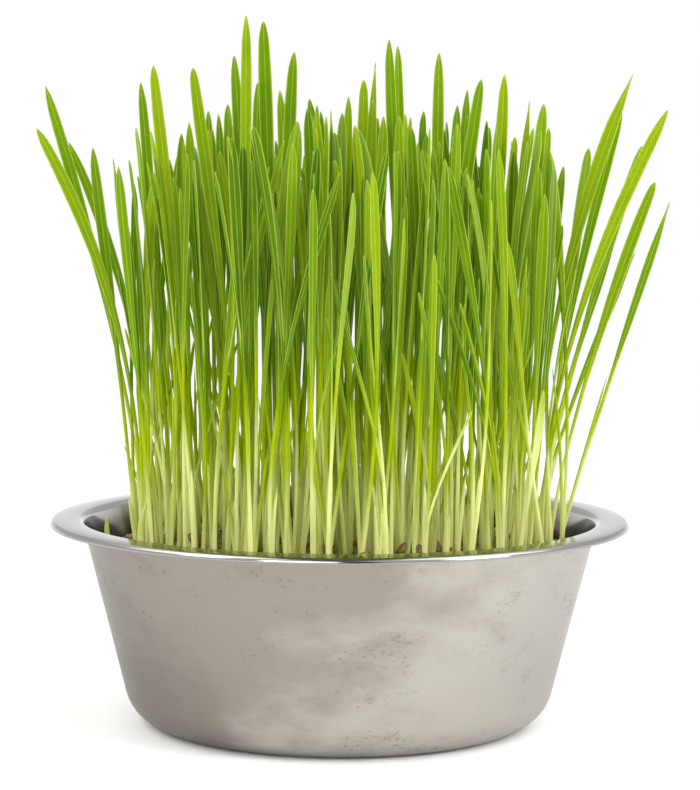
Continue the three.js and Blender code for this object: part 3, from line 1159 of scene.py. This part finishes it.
@dataclass
class Blades:
    """Turns each shoot into a fine stem and leaf, with the sheath at its foot and its younger leaf."""

    stand: Stand
    around: int = 12
    leaf_rings: int = 31
    sprout_rings: int = 10
    young_rings: int = 21
    sheath_rings: int = 11
    root_depth: float = 3.0
    stem_width: float = 1.12
    foot_width: float = 1.55
    foot_height: float = 14.0
    leaf_thick: float = 0.42
    rib: float = 0.22
    fold: float = 0.2
    # The shares of its height between which a leaf opens out of its stem.
    skyline_opening: tuple[float, float] = (0.36, 0.92)
    body_opening: tuple[float, float] = (0.46, 0.95)
    # A leaf narrows towards its tip by this part, over this length, and ends in a rounded nose. Spans, here
    # and below, are a least value and what is added to it at most.
    taper: float = 0.5
    taper_length: float = 16.0
    nose_lengths: tuple[float, float] = (4.0, 5.0)
    nose_sharpness: tuple[float, float] = (0.45, 0.2)
    # The skyline's leaves that are narrower than this, and these of its table, are drawn out into a wisp.
    drawn_width: float = 3.45
    wisps: tuple[int, ...] = (49,)
    drawn_nose: float = 20.0
    wisp_width: float = 0.5
    # How far a stem bows on the skyline and in the body, and how far a tip there turns aside.
    skyline_bow: float = 1.2
    body_bow: float = 5.5
    curl: float = 9.0
    # How far the loosest shoots lean across the others, and how far out they only lean inwards.
    lean: float = 28.0
    edge_radius: float = 45.0
    # Up to this height a shoot is a closed sprout, and up to the next one its leaf is narrower.
    sprout_height: float = 42.0
    short_height: float = 112.0
    short_share: float = 0.78
    # The span of heights where stems start to turn green, and over what height they turn.
    pale_heights: tuple[float, float] = (52.0, 32.0)
    greening: float = 70.0
    # Of the body's shoots at least this far out, this part shows a younger leaf.
    young_radius: float = 42.0
    young_part: float = 0.32
    # It starts at a share of the shoot's height, goes on for another and reaches out, all of them spans.
    young_starts: tuple[float, float] = (0.1, 0.22)
    young_lengths: tuple[float, float] = (0.36, 0.32)
    young_reaches: tuple[float, float] = (4.0, 15.0)
    young_stem: float = 0.9
    young_widths: tuple[float, float] = (0.5, 1.1)
    young_nose: float = 11.0
    # The part of the shoots that keep a foot sheath, and the part of those that have a long one.
    sheath_part: float = 0.75
    long_sheath_part: float = 0.4
    long_sheath: Sheath = Sheath((34.0, 30.0), 9.0, 1.3, 0.6)
    short_sheath: Sheath = Sheath((14.0, 24.0), 2.4, 1.7, 0.15)

    def widths(
        self, full: float, tall: float, shares: Array, opened: Array, nose: tuple[float, float]
    ) -> Array:
        """Gives a leaf's width at shares of its height.

        Args:
            full: Its full width.
            tall: Its height.
            shares: The shares.
            opened: How far it has opened there, from 0 to 1.
            nose: How long its end is, and how sharp: 0.5 for round, 1 and over for drawn out.

        Returns:
            The widths.
        """
        above, left = tall * shares, tall * (1 - shares)
        stem = self.stem_width + (self.foot_width - self.stem_width) * np.exp(-above / self.foot_height)
        broad = (stem + (full - stem) * opened) * (1 - self.taper * np.exp(-left / self.taper_length))
        end = np.clip(left / nose[0], 0, 1)
        wisp = np.minimum(left / 3, self.wisp_width)
        return np.maximum(broad * np.sin(math.pi / 2 * end) ** nose[1], wisp)

    def ribbon(
        self,
        form: Form,
        centre: Array,
        facing: Array,
        width: Array,
        opened: Array,
        **values: Array | float,
    ) -> None:
        """Adds one stem and leaf along a line.

        Args:
            form: The mesh that takes it.
            centre: The line, one row for each ring and a last one for the tip.
            facing: Which way the leaf lies across, in radians, at each row.
            width: Its width at each row.
            opened: How far the leaf has opened at each row.
            values: Attribute values, one for each row or one for all.
        """
        along = np.gradient(centre, axis=0)
        along /= np.linalg.norm(along, axis=1, keepdims=True)
        flat = np.stack([np.cos(facing), np.sin(facing), np.zeros_like(facing)], 1)
        across = flat - along * np.sum(flat * along, axis=1, keepdims=True)
        across /= np.linalg.norm(across, axis=1, keepdims=True)
        front = np.cross(across, along)
        # The section is round in the stem and flattens into a folded leaf with a rib as it opens.
        theta = np.linspace(0, 2 * math.pi, self.around, endpoint=False)
        side, face = np.cos(theta), np.sin(theta)
        rings = len(centre) - 1
        wide, open_part = width[:rings, None], opened[:rings, None]
        round_part = 1 - smoothstep(0.0, 0.4, open_part)
        thick = np.minimum(self.leaf_thick + (0.85 * wide - self.leaf_thick) * round_part, wide)
        u = side[None, :] * wide / 2
        v = np.sign(face) * np.abs(face) ** 0.85 * thick / 2
        v = v + np.abs(side) ** 1.15 * wide * self.fold * open_part
        v = v - np.where(face < -0.9, self.rib, 0.0) * open_part * np.minimum(wide / 2, 1)
        points = (
            centre[:rings, None, :]
            + u[:, :, None] * across[:rings, None, :]
            + v[:, :, None] * front[:rings, None, :]
        ).reshape(-1, 3)
        # A closed stem shows no rib, veins or painted edge highlight.
        lined = smoothstep(0.0, 0.03, open_part)
        spread: dict[str, Array | float] = {
            "across": np.append((u / np.maximum(lined, 0.05)).ravel(), 0.0),
            # edge carries the painted highlight along a leaf's edges, and at its tip.
            "edge": np.append((np.abs(side)[None, :] * lined).ravel(), 0.9),
        }
        for name, value in values.items():
            is_row = isinstance(value, np.ndarray)
            spread[name] = np.append(np.repeat(value[:rings], self.around), value[-1]) if is_row else value
        form.add(np.concatenate([points, centre[-1:]]), tube_faces(rings, self.around), **spread)

    def line_of(self, shoot: Shoot, shares: Array) -> Array:
        """Follows the line of a shoot's solid, a little bowed, with a tip that turns aside.

        Args:
            shoot: The shoot.
            shares: How far up it each point is, from 0 at the foot to 1 at the tip.

        Returns:
            The points, one row each.
        """
        stand, lean = self.stand, shares**shoot.bend
        seed = shoot.plant + (0 if shoot.kind is ShootKind.SKYLINE else 2000)
        most = self.skyline_bow if shoot.kind is ShootKind.SKYLINE else self.body_bow
        bow, swing = most * draw_either(seed, 710), draw_turn(seed, 711)
        aside = bow * np.sin(math.pi * shares) * (1 - 0.5 * shares)
        if shoot.kind is ShootKind.BODY:
            # A few lean across the others. At the stand's edge they lean inwards.
            across = self.lean * draw_either(seed, 713) ** 5
            outwards = math.cos(swing) * shoot.foot[0] + math.sin(swing) * shoot.foot[1]
            if math.hypot(*shoot.foot) > self.edge_radius:
                across = -math.copysign(across, outwards)
            turn = self.curl * draw_either(seed, 712) ** 3
            aside = aside + turn * shares**4 + across * shares**1.5
        return np.stack(
            [
                shoot.foot[0] + (shoot.tip[0] - shoot.foot[0]) * lean + aside * math.cos(swing),
                shoot.foot[1] + (shoot.tip[1] - shoot.foot[1]) * lean + aside * math.sin(swing),
                stand.pad_top + (shoot.tip[2] - stand.pad_top) * shares,
            ],
            1,
        )

    def beside(self, shoot: Shoot, shares: Array, swing: float, off: Array) -> Array:
        """Gives points that lie off a shoot's line, all to one side."""
        return self.line_of(shoot, shares) + np.outer(off, (math.cos(swing), math.sin(swing), 0.0))

    def paleness(self, height: Array, seed: int) -> Array:
        """Gives how pale a stem is at heights above the floor: white at the foot, green in the light."""
        start = draw_span(self.pale_heights, seed, 703)
        return 1 - smoothstep(start, start + self.greening, height)

    def main_leaf(self, form: Form, shoot: Shoot) -> None:
        """Adds a shoot's stem and main leaf, or a sprout's closed spike.

        Args:
            form: The mesh that takes it.
            shoot: The shoot.
        """
        tall = shoot.tip[2] - self.stand.pad_top
        is_sprout = tall < self.sprout_height
        # The rings stand closer together towards the tip.
        steps = np.linspace(0, 1, self.sprout_rings if is_sprout else self.leaf_rings)
        shares = 1 - (1 - steps) ** 1.7
        centre = self.line_of(shoot, shares)
        full = max(shoot.widths) * (1 if tall > self.short_height or is_sprout else self.short_share)
        on_skyline = shoot.kind is ShootKind.SKYLINE
        seed = shoot.plant + (0 if on_skyline else 1000)
        opened = smoothstep(*(self.skyline_opening if on_skyline else self.body_opening), shares)
        drawn = on_skyline and (full < self.drawn_width or shoot.plant in self.wisps)
        rounded = (draw_span(self.nose_lengths, seed, 721), draw_span(self.nose_sharpness, seed, 720))
        nose = (self.drawn_nose, 1.0) if drawn else rounded
        width = self.widths(full, tall, shares, opened, nose)
        pale = self.paleness(centre[:, 2], shoot.plant)
        if is_sprout:
            width = (full - 0.4 * shares) * np.sqrt(1 - np.clip((shares - 0.3) / 0.7, 0, 1) ** 2)
            opened, pale = opened * 0, 1.0 - 0.25 * shares
        centre[0, 2] -= self.root_depth
        # A leaf of the skyline turns its face to the front as it climbs, and isn't of the deepest green.
        turned = shoot.facing * (1 - 0.85 * smoothstep(0.25, 0.75, shares)) if on_skyline else shoot.facing
        self.ribbon(
            form,
            centre,
            turned + shoot.twist * shares,
            width,
            opened,
            tone=0.3 + 0.7 * draw(seed, 701) if on_skyline else draw(seed, 701),
            back=draw(seed, 702) ** 5,
            pale=pale,
        )

    def young_leaf(self, form: Form, shoot: Shoot) -> None:
        """Adds the narrow younger leaf that some of the outer shoots show beside the main one.

        Args:
            form: The mesh that takes it.
            shoot: The shoot.
        """
        seed = shoot.plant + 4000
        is_inner = math.hypot(*shoot.foot) < self.young_radius
        if shoot.kind is not ShootKind.BODY or is_inner or draw(seed, 1) > self.young_part:
            return
        tall = shoot.tip[2] - self.stand.pad_top
        start = draw_span(self.young_starts, seed, 2)
        length = draw_span(self.young_lengths, seed, 3)
        swing = draw_turn(seed, 4)
        reach = draw_span(self.young_reaches, seed, 5)
        shares = 1 - (1 - np.linspace(0, 1, self.young_rings)) ** 1.6
        centre = self.beside(shoot, start + shares * length, swing, reach * shares**1.4)
        opened = smoothstep(0.1, 0.7, shares)
        left = tall * length * (1 - shares)
        broad = self.young_stem + draw_span(self.young_widths, seed, 6) * opened
        width = broad * np.sqrt(1 - (1 - np.clip(left / self.young_nose, 0, 1)) ** 2)
        self.ribbon(
            form,
            centre,
            swing + math.pi / 2 + 0.4 * shares,
            width,
            opened,
            tone=draw(seed, 701),
            back=draw(seed, 702) ** 5,
            pale=self.paleness(centre[:, 2], seed),
        )

    def foot_sheath(self, form: Form, shoot: Shoot) -> None:
        """Adds the pale pointed sheath that the stem grew out of.

        Args:
            form: The mesh that takes it.
            shoot: The shoot.
        """
        seed = shoot.plant + (5000 if shoot.kind is ShootKind.SKYLINE else 6000)
        if shoot.kind is ShootKind.SPROUT or draw(seed, 1) > self.sheath_part:
            return
        tall = shoot.tip[2] - self.stand.pad_top
        sheath = self.long_sheath if draw(seed, 5) < self.long_sheath_part else self.short_sheath
        high = draw_span(sheath.heights, seed, 2)
        shares = np.linspace(0, 1, self.sheath_rings)
        swing = draw_turn(seed, 3)
        off = 0.2 + draw_span((0.8, sheath.out), seed, 4) * shares**1.3
        centre = self.beside(shoot, shares * high / tall, swing, off)
        width = (sheath.width - 0.3 * shares) * np.sqrt(1 - np.clip((shares - 0.45) / 0.55, 0, 1) ** 2)
        pale = 1.0 - sheath.green * shares
        closed = 0 * shares
        facing = swing + math.pi / 2 + closed
        self.ribbon(form, centre, facing, width, closed, tone=0.5, back=0.0, pale=pale)

    def tuft(self, number: int, cell: tuple[int, int], material: bpy.types.Material) -> bpy.types.Object:
        """Builds the shoots of one tuft in place of its solid.

        Args:
            number: The tuft's number.
            cell: The cell of the root mat that it stands on.
            material: The leaf finish.

        Returns:
            The piece.
        """
        form = Form()
        for shoot in self.stand.grown:
            if shoot.cell == cell:
                self.main_leaf(form, shoot)
                self.young_leaf(form, shoot)
                self.foot_sheath(form, shoot)
        piece = form.piece(f"shoots_{number:02d}", material, Slot.WHEATGRASS)
        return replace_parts(piece, f"tuft_{number:02d}")


@dataclass
class RootMat:
    """The matted roots that the stand grows from, with loose roots and spent grains on it."""

    stand: Stand
    bottom: float = 52.8
    edge_gap: float = 0.35
    around: int = 216
    steps_in: int = 36
    # How high the waves in the slab's top are, and how far it lies below the solids' own.
    waves: float = 0.28
    sunk: float = 0.3
    # Loose roots on the slab: how many, their half length and the span of parts of it that they have, half
    # their thickness, and their mesh.
    threads: int = 420
    thread_long: float = 8.5
    thread_parts: tuple[float, float] = (0.5, 0.45)
    thread_thick: float = 0.26
    thread_steps: int = 13
    thread_sides: int = 5
    grain_long: float = 3.1
    grain_wide: float = 1.6
    grain_high: float = 1.5
    grain_rings: int = 9
    grain_sides: int = 12
    # How far grains keep from the slab's rim and from the edges of its cells.
    rim_margin: float = 4.0
    cell_margin: float = 3.4
    # The part of the shoots that have lifted a grain off the mat, how far out from the stem it hangs, and
    # its spans of heights and tilts.
    lifted_part: float = 0.08
    lifted_out: float = 1.9
    lifted_heights: tuple[float, float] = (2.0, 6.0)
    lifted_tilts: tuple[float, float] = (0.5, 0.8)

    def slab(self, form: Form) -> None:
        """Adds the round slab of roots that all the tufts share, with its matted top.

        Args:
            form: The mesh that takes it.
        """
        outer = self.stand.pad_radius - self.edge_gap
        turns = np.linspace(0, -2 * math.pi, self.around, endpoint=False)
        radii = outer * (1 - np.arange(self.steps_in) / self.steps_in)
        x, y = (np.append(np.outer(radii, part).ravel(), 0.0) for part in (np.cos(turns), np.sin(turns)))
        mat = self.waves * np.sin(x * 1.7 + 1.3 * np.sin(y * 0.9)) * np.cos(y * 1.5 + np.sin(x * 0.8))
        top = np.stack([x, y, self.stand.pad_top - self.sunk + mat], 1)
        base = top[: self.around] * (1, 1, 0) + (0, 0, self.bottom)
        form.add(np.concatenate([base, top]), tube_faces(self.steps_in + 1, self.around))

    def thread(self, form: Form, index: int) -> None:
        """Adds one root that wanders over the slab, with both its ends in the mat.

        Args:
            form: The mesh that takes it.
            index: The root's number.
        """
        radius = (self.stand.pad_radius - self.thread_long) * math.sqrt((index + 0.5) / self.threads)
        place, heading = index * GOLDEN_ANGLE + 2, draw_turn(index, 600)
        share = np.linspace(-1, 1, self.thread_steps)
        along = draw_span(self.thread_parts, index, 601) * self.thread_long * share
        aside = 1.5 * np.sin(2.6 * share + 6 * draw(index, 602))
        c, s = math.cos(heading), math.sin(heading)
        thick = self.thread_thick * (1 - 0.6 * share**4)
        wave = 0.3 * np.sin(3.1 * share + 6 * draw(index, 603))
        high = self.stand.pad_top + 0.3 + wave - 1.3 * share**6
        rows = []
        for turn in np.linspace(0, -2 * math.pi, self.thread_sides, endpoint=False):
            out = aside + thick * math.cos(turn)
            rows.append(
                np.stack(
                    [
                        radius * math.cos(place) + along * c - out * s,
                        radius * math.sin(place) + along * s + out * c,
                        high + thick * math.sin(turn),
                    ],
                    1,
                )
            )
        points = np.stack(rows, 1).reshape(-1, 3)
        end = points[-self.thread_sides :].mean(0, keepdims=True)
        form.add(np.concatenate([points, end]), tube_faces(self.thread_steps, self.thread_sides))

    def build(self, material: bpy.types.Material) -> None:
        """Builds the root mat in place of the tufts' slabs.

        Args:
            material: The finish of the roots.
        """
        form = Form()
        self.slab(form)
        for index in range(self.threads):
            self.thread(form, index)
        piece = form.piece("root_mat", material, Slot.WHEATGRASS)
        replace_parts(piece, *(f"tuft_{number:02d}" for number in range(1, len(self.stand.cells()) + 1)))

    def husks(self, material: bpy.types.Material) -> bpy.types.Object:
        """Builds the spent grains, half sunk in the mat or caught among the stems.

        Args:
            material: The finish of the husks.

        Returns:
            The piece.
        """
        form = Form()
        reach = self.stand.pad_radius - self.rim_margin
        for index in range(self.stand.grains):
            radius = reach * math.sqrt((index + 0.5) / self.stand.grains)
            turn = index * GOLDEN_ANGLE + 1
            x, y = radius * math.cos(turn), radius * math.sin(turn)
            if self.stand.cell_at(x, y)[1] <= self.cell_margin:
                continue
            self.husk(form, (x, y, self.stand.pad_top + 0.3), draw(index, 500) * math.pi)
        for shoot in self.stand.grown:
            seed = shoot.plant + 7000
            if shoot.kind is not ShootKind.BODY or draw(seed, 0) > self.lifted_part:
                continue
            turn = draw_turn(seed, 1)
            x = shoot.foot[0] + self.lifted_out * math.cos(turn)
            y = shoot.foot[1] + self.lifted_out * math.sin(turn)
            least, more = self.lifted_heights
            high = self.stand.pad_top + least + more * draw(seed, 2)
            self.husk(form, (x, y, high), turn + math.pi / 2, draw_span(self.lifted_tilts, seed, 3))
        return form.piece("spent_grains", material, Slot.WHEATGRASS)

    def husk(self, form: Form, middle: tuple[float, float, float], turn: float, tilt: float = 0.0) -> None:
        """Adds one grain: plump, pointed at its germ end, creased along its back.

        Args:
            form: The mesh that takes it.
            middle: Where its middle is.
            turn: Which way it points, in radians.
            tilt: How steeply it stands up.
        """
        around, rings = self.grain_sides, self.grain_rings
        theta = np.linspace(0, -2 * math.pi, around, endpoint=False)
        rows = []
        for ring in range(rings):
            along = -1 + 2 * (ring + 0.5) / rings
            plump = (1 - abs(along) ** 2.4) ** 0.5 * (1 - 0.12 * along)
            crease = 1 - 0.22 * np.exp(-(((theta + math.pi * 1.5) / 0.4) ** 2))
            rows.append(
                np.stack(
                    [
                        np.full(around, along * self.grain_long),
                        np.cos(theta) * self.grain_wide * plump,
                        np.sin(theta) * self.grain_high * plump * crease,
                    ],
                    1,
                )
            )
        points = np.concatenate([*rows, [[self.grain_long, 0, 0]]])
        c, s = math.cos(turn), math.sin(turn)
        flat = points[:, 0] * math.cos(tilt) - points[:, 2] * math.sin(tilt)
        placed = np.stack(
            [
                middle[0] + flat * c - points[:, 1] * s,
                middle[1] + flat * s + points[:, 1] * c,
                middle[2] + points[:, 0] * math.sin(tilt) + points[:, 2] * math.cos(tilt),
            ],
            1,
        )
        form.add(placed, tube_faces(rings, around))


# The studio


@dataclass(frozen=True)
class Panel:
    """One soft light: where it hangs and its side, in metres, its power in watts, and its colour."""

    name: str
    place: tuple[float, float, float]
    side: float
    power: float
    colour: str = "#FFFFFF"


@dataclass
class Studio:
    """A plain pale floor, soft light from large panels, and the camera."""

    camera_place: tuple[float, float, float] = (2.7, -830.2, 176.4)
    pitch: float = math.radians(-4.73)
    roll: float = math.radians(0.35)
    focal_pixels: float = 2536.0
    picture_height: int = 790
    film_width: float = 36.0
    # The floor's radius is in metres.
    floor_radius: float = 1.0
    floor_corners: int = 128
    paper_mm: float = 60.0
    room_light: float = 1.5
    panels: tuple[Panel, ...] = (
        Panel("above_left", (-0.95, -0.2, 1.3), 1.1, 8.0, "#FFFDF8"),
        Panel("above_right", (1.05, -0.3, 1.3), 1.2, 8.0, "#FFFDF8"),
        Panel("side_left", (-1.2, -0.8, 0.9), 0.5, 2.5, "#FAFCFF"),
        Panel("side_right", (1.2, -0.8, 0.7), 0.6, 10.5),
        Panel("front", (-0.35, -1.3, 0.55), 0.7, 6.5),
    )

    def camera(self) -> None:
        """Sets the camera where the photograph was taken from."""
        data = bpy.data.cameras.new("camera")
        data.sensor_width = self.film_width
        data.lens = self.film_width * self.focal_pixels / self.picture_height
        data.clip_end = 50
        camera = bpy.data.objects.new("camera", data)
        camera.location = tuple(c * MM for c in self.camera_place)
        camera.rotation_euler = (math.pi / 2 + self.pitch, -self.roll, 0)
        bpy.context.scene.collection.objects.link(camera)
        bpy.context.scene.camera = camera

    @staticmethod
    def hang(panel: Panel) -> None:
        """Hangs one soft light, aimed at the middle of the grass.

        Args:
            panel: The light.
        """
        data = bpy.data.lights.new(panel.name, "AREA")
        data.size = panel.side
        data.energy = panel.power
        data.color = linear(panel.colour)[:3]
        light = bpy.data.objects.new(panel.name, data)
        light.location = panel.place
        aim = np.array([0.0, 0.0, 0.1]) - np.array(panel.place)
        aim /= np.linalg.norm(aim)
        light.rotation_euler = (math.acos(-aim[2]), 0.0, math.atan2(aim[1], aim[0]) - math.pi / 2)
        bpy.context.scene.collection.objects.link(light)

    def floor(self) -> None:
        """Lays the studio paper."""
        material, tree, surface = new_material("white_studio_paper")
        place = add_node(tree, "ShaderNodeTexCoord").outputs["Object"]
        # Matt paper: its tooth is too fine to show, so only a very faint unevenness is drawn.
        tooth = add_node(
            tree, "ShaderNodeTexNoise", {"Scale": per_metre(self.paper_mm)}, {"Vector": place}
        )
        colour = add_node(
            tree,
            "ShaderNodeMix",
            {"data_type": "RGBA", 6: linear("#FBFBFA"), 7: linear("#FEFEFE")},
            {0: tooth.outputs["Fac"]},
        )
        shader = add_node(
            tree,
            "ShaderNodeBsdfPrincipled",
            {"Roughness": 0.8, "Specular IOR Level": 0.2},
            {"Base Color": colour.outputs[2]},
        )
        tree.links.new(shader.outputs["BSDF"], surface)
        mesh = bpy.data.meshes.new("floor")
        turns = np.linspace(0, 2 * math.pi, self.floor_corners, endpoint=False)
        rim = [(self.floor_radius * math.cos(a), self.floor_radius * math.sin(a), 0) for a in turns]
        mesh.from_pydata(rim, [], [tuple(range(len(rim)))])
        mesh.materials.append(material)
        floor = bpy.data.objects.new("floor", mesh)
        bpy.context.scene.collection.objects.link(floor)

    def surroundings(self) -> None:
        """Makes the room that lights the bowl: pale, but dim right overhead and behind the camera."""
        world = bpy.data.worlds.new("studio_room")
        bpy.context.scene.world = world
        world.use_nodes = True
        tree = world.node_tree
        tree.nodes.clear()
        way = add_node(tree, "ShaderNodeTexCoord").outputs["Generated"]
        parts = add_node(tree, "ShaderNodeSeparateXYZ", None, {"Vector": way})
        aside = add_node(tree, "ShaderNodeMath", {"operation": "ABSOLUTE"}, {0: parts.outputs["X"]})
        ahead, overhead = (
            add_node(
                tree,
                "ShaderNodeMath",
                {"operation": "MULTIPLY_ADD", 1: weight},
                {0: aside.outputs["Value"], 2: parts.outputs[axis]},
            ).outputs["Value"]
            for weight, axis in ((1.2, "Y"), (-1.6, "Z"))
        )
        room = coated(
            tree,
            "#FFFFFF",
            [
                Coat(parts.outputs["Z"], 0.08, 0.2, "#CFCFD0"),
                Coat(parts.outputs["Z"], 0.5, 0.8, "#FFFFFF"),
                Coat(parts.outputs["Y"], 0.1, -0.75, "#D0CECB"),
                Coat(overhead, 0.5, 0.7, "#6C6B69"),
                Coat(ahead, -0.45, -0.75, "#4C4A48"),
            ],
        )
        light = add_node(tree, "ShaderNodeBackground", {"Strength": self.room_light}, {"Color": room})
        # Seen directly, past the floor's edge, the room is plain white on every side.
        plain = add_node(tree, "ShaderNodeBackground", {"Color": linear("#FFFFFF"), "Strength": 1.0})
        seen = add_node(tree, "ShaderNodeLightPath").outputs["Is Camera Ray"]
        either = add_node(
            tree,
            "ShaderNodeMixShader",
            None,
            {0: seen, 1: light.outputs["Background"], 2: plain.outputs["Background"]},
        )
        output = add_node(tree, "ShaderNodeOutputWorld")
        tree.links.new(either.outputs["Shader"], output.inputs["Surface"])
        bpy.context.scene.view_settings.view_transform = "Standard"

    def build(self) -> None:
        """Sets up the whole studio."""
        self.camera()
        self.floor()
        self.surroundings()
        for panel in self.panels:
            self.hang(panel)


def main() -> None:
    """Builds the studio, the bowl and the stand, in that order, and notes the sizes."""
    logging.basicConfig(level=logging.INFO, format="%(name)s: %(message)s")
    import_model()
    Studio().build()
    bowl = Bowl()
    bowl.shell()
    bowl.filling()
    stand = Stand()
    stand.grow()
    blades = Blades(stand)
    leaf = WheatgrassLeaf().material()
    for number, cell in enumerate(stand.cells(), start=1):
        blades.tuft(number, cell, leaf)
    roots = RootMat(stand)
    roots.build(ROOT_FINISH.material())
    roots.husks(HUSK_FINISH.material())


if __name__ == "__main__":
    main()
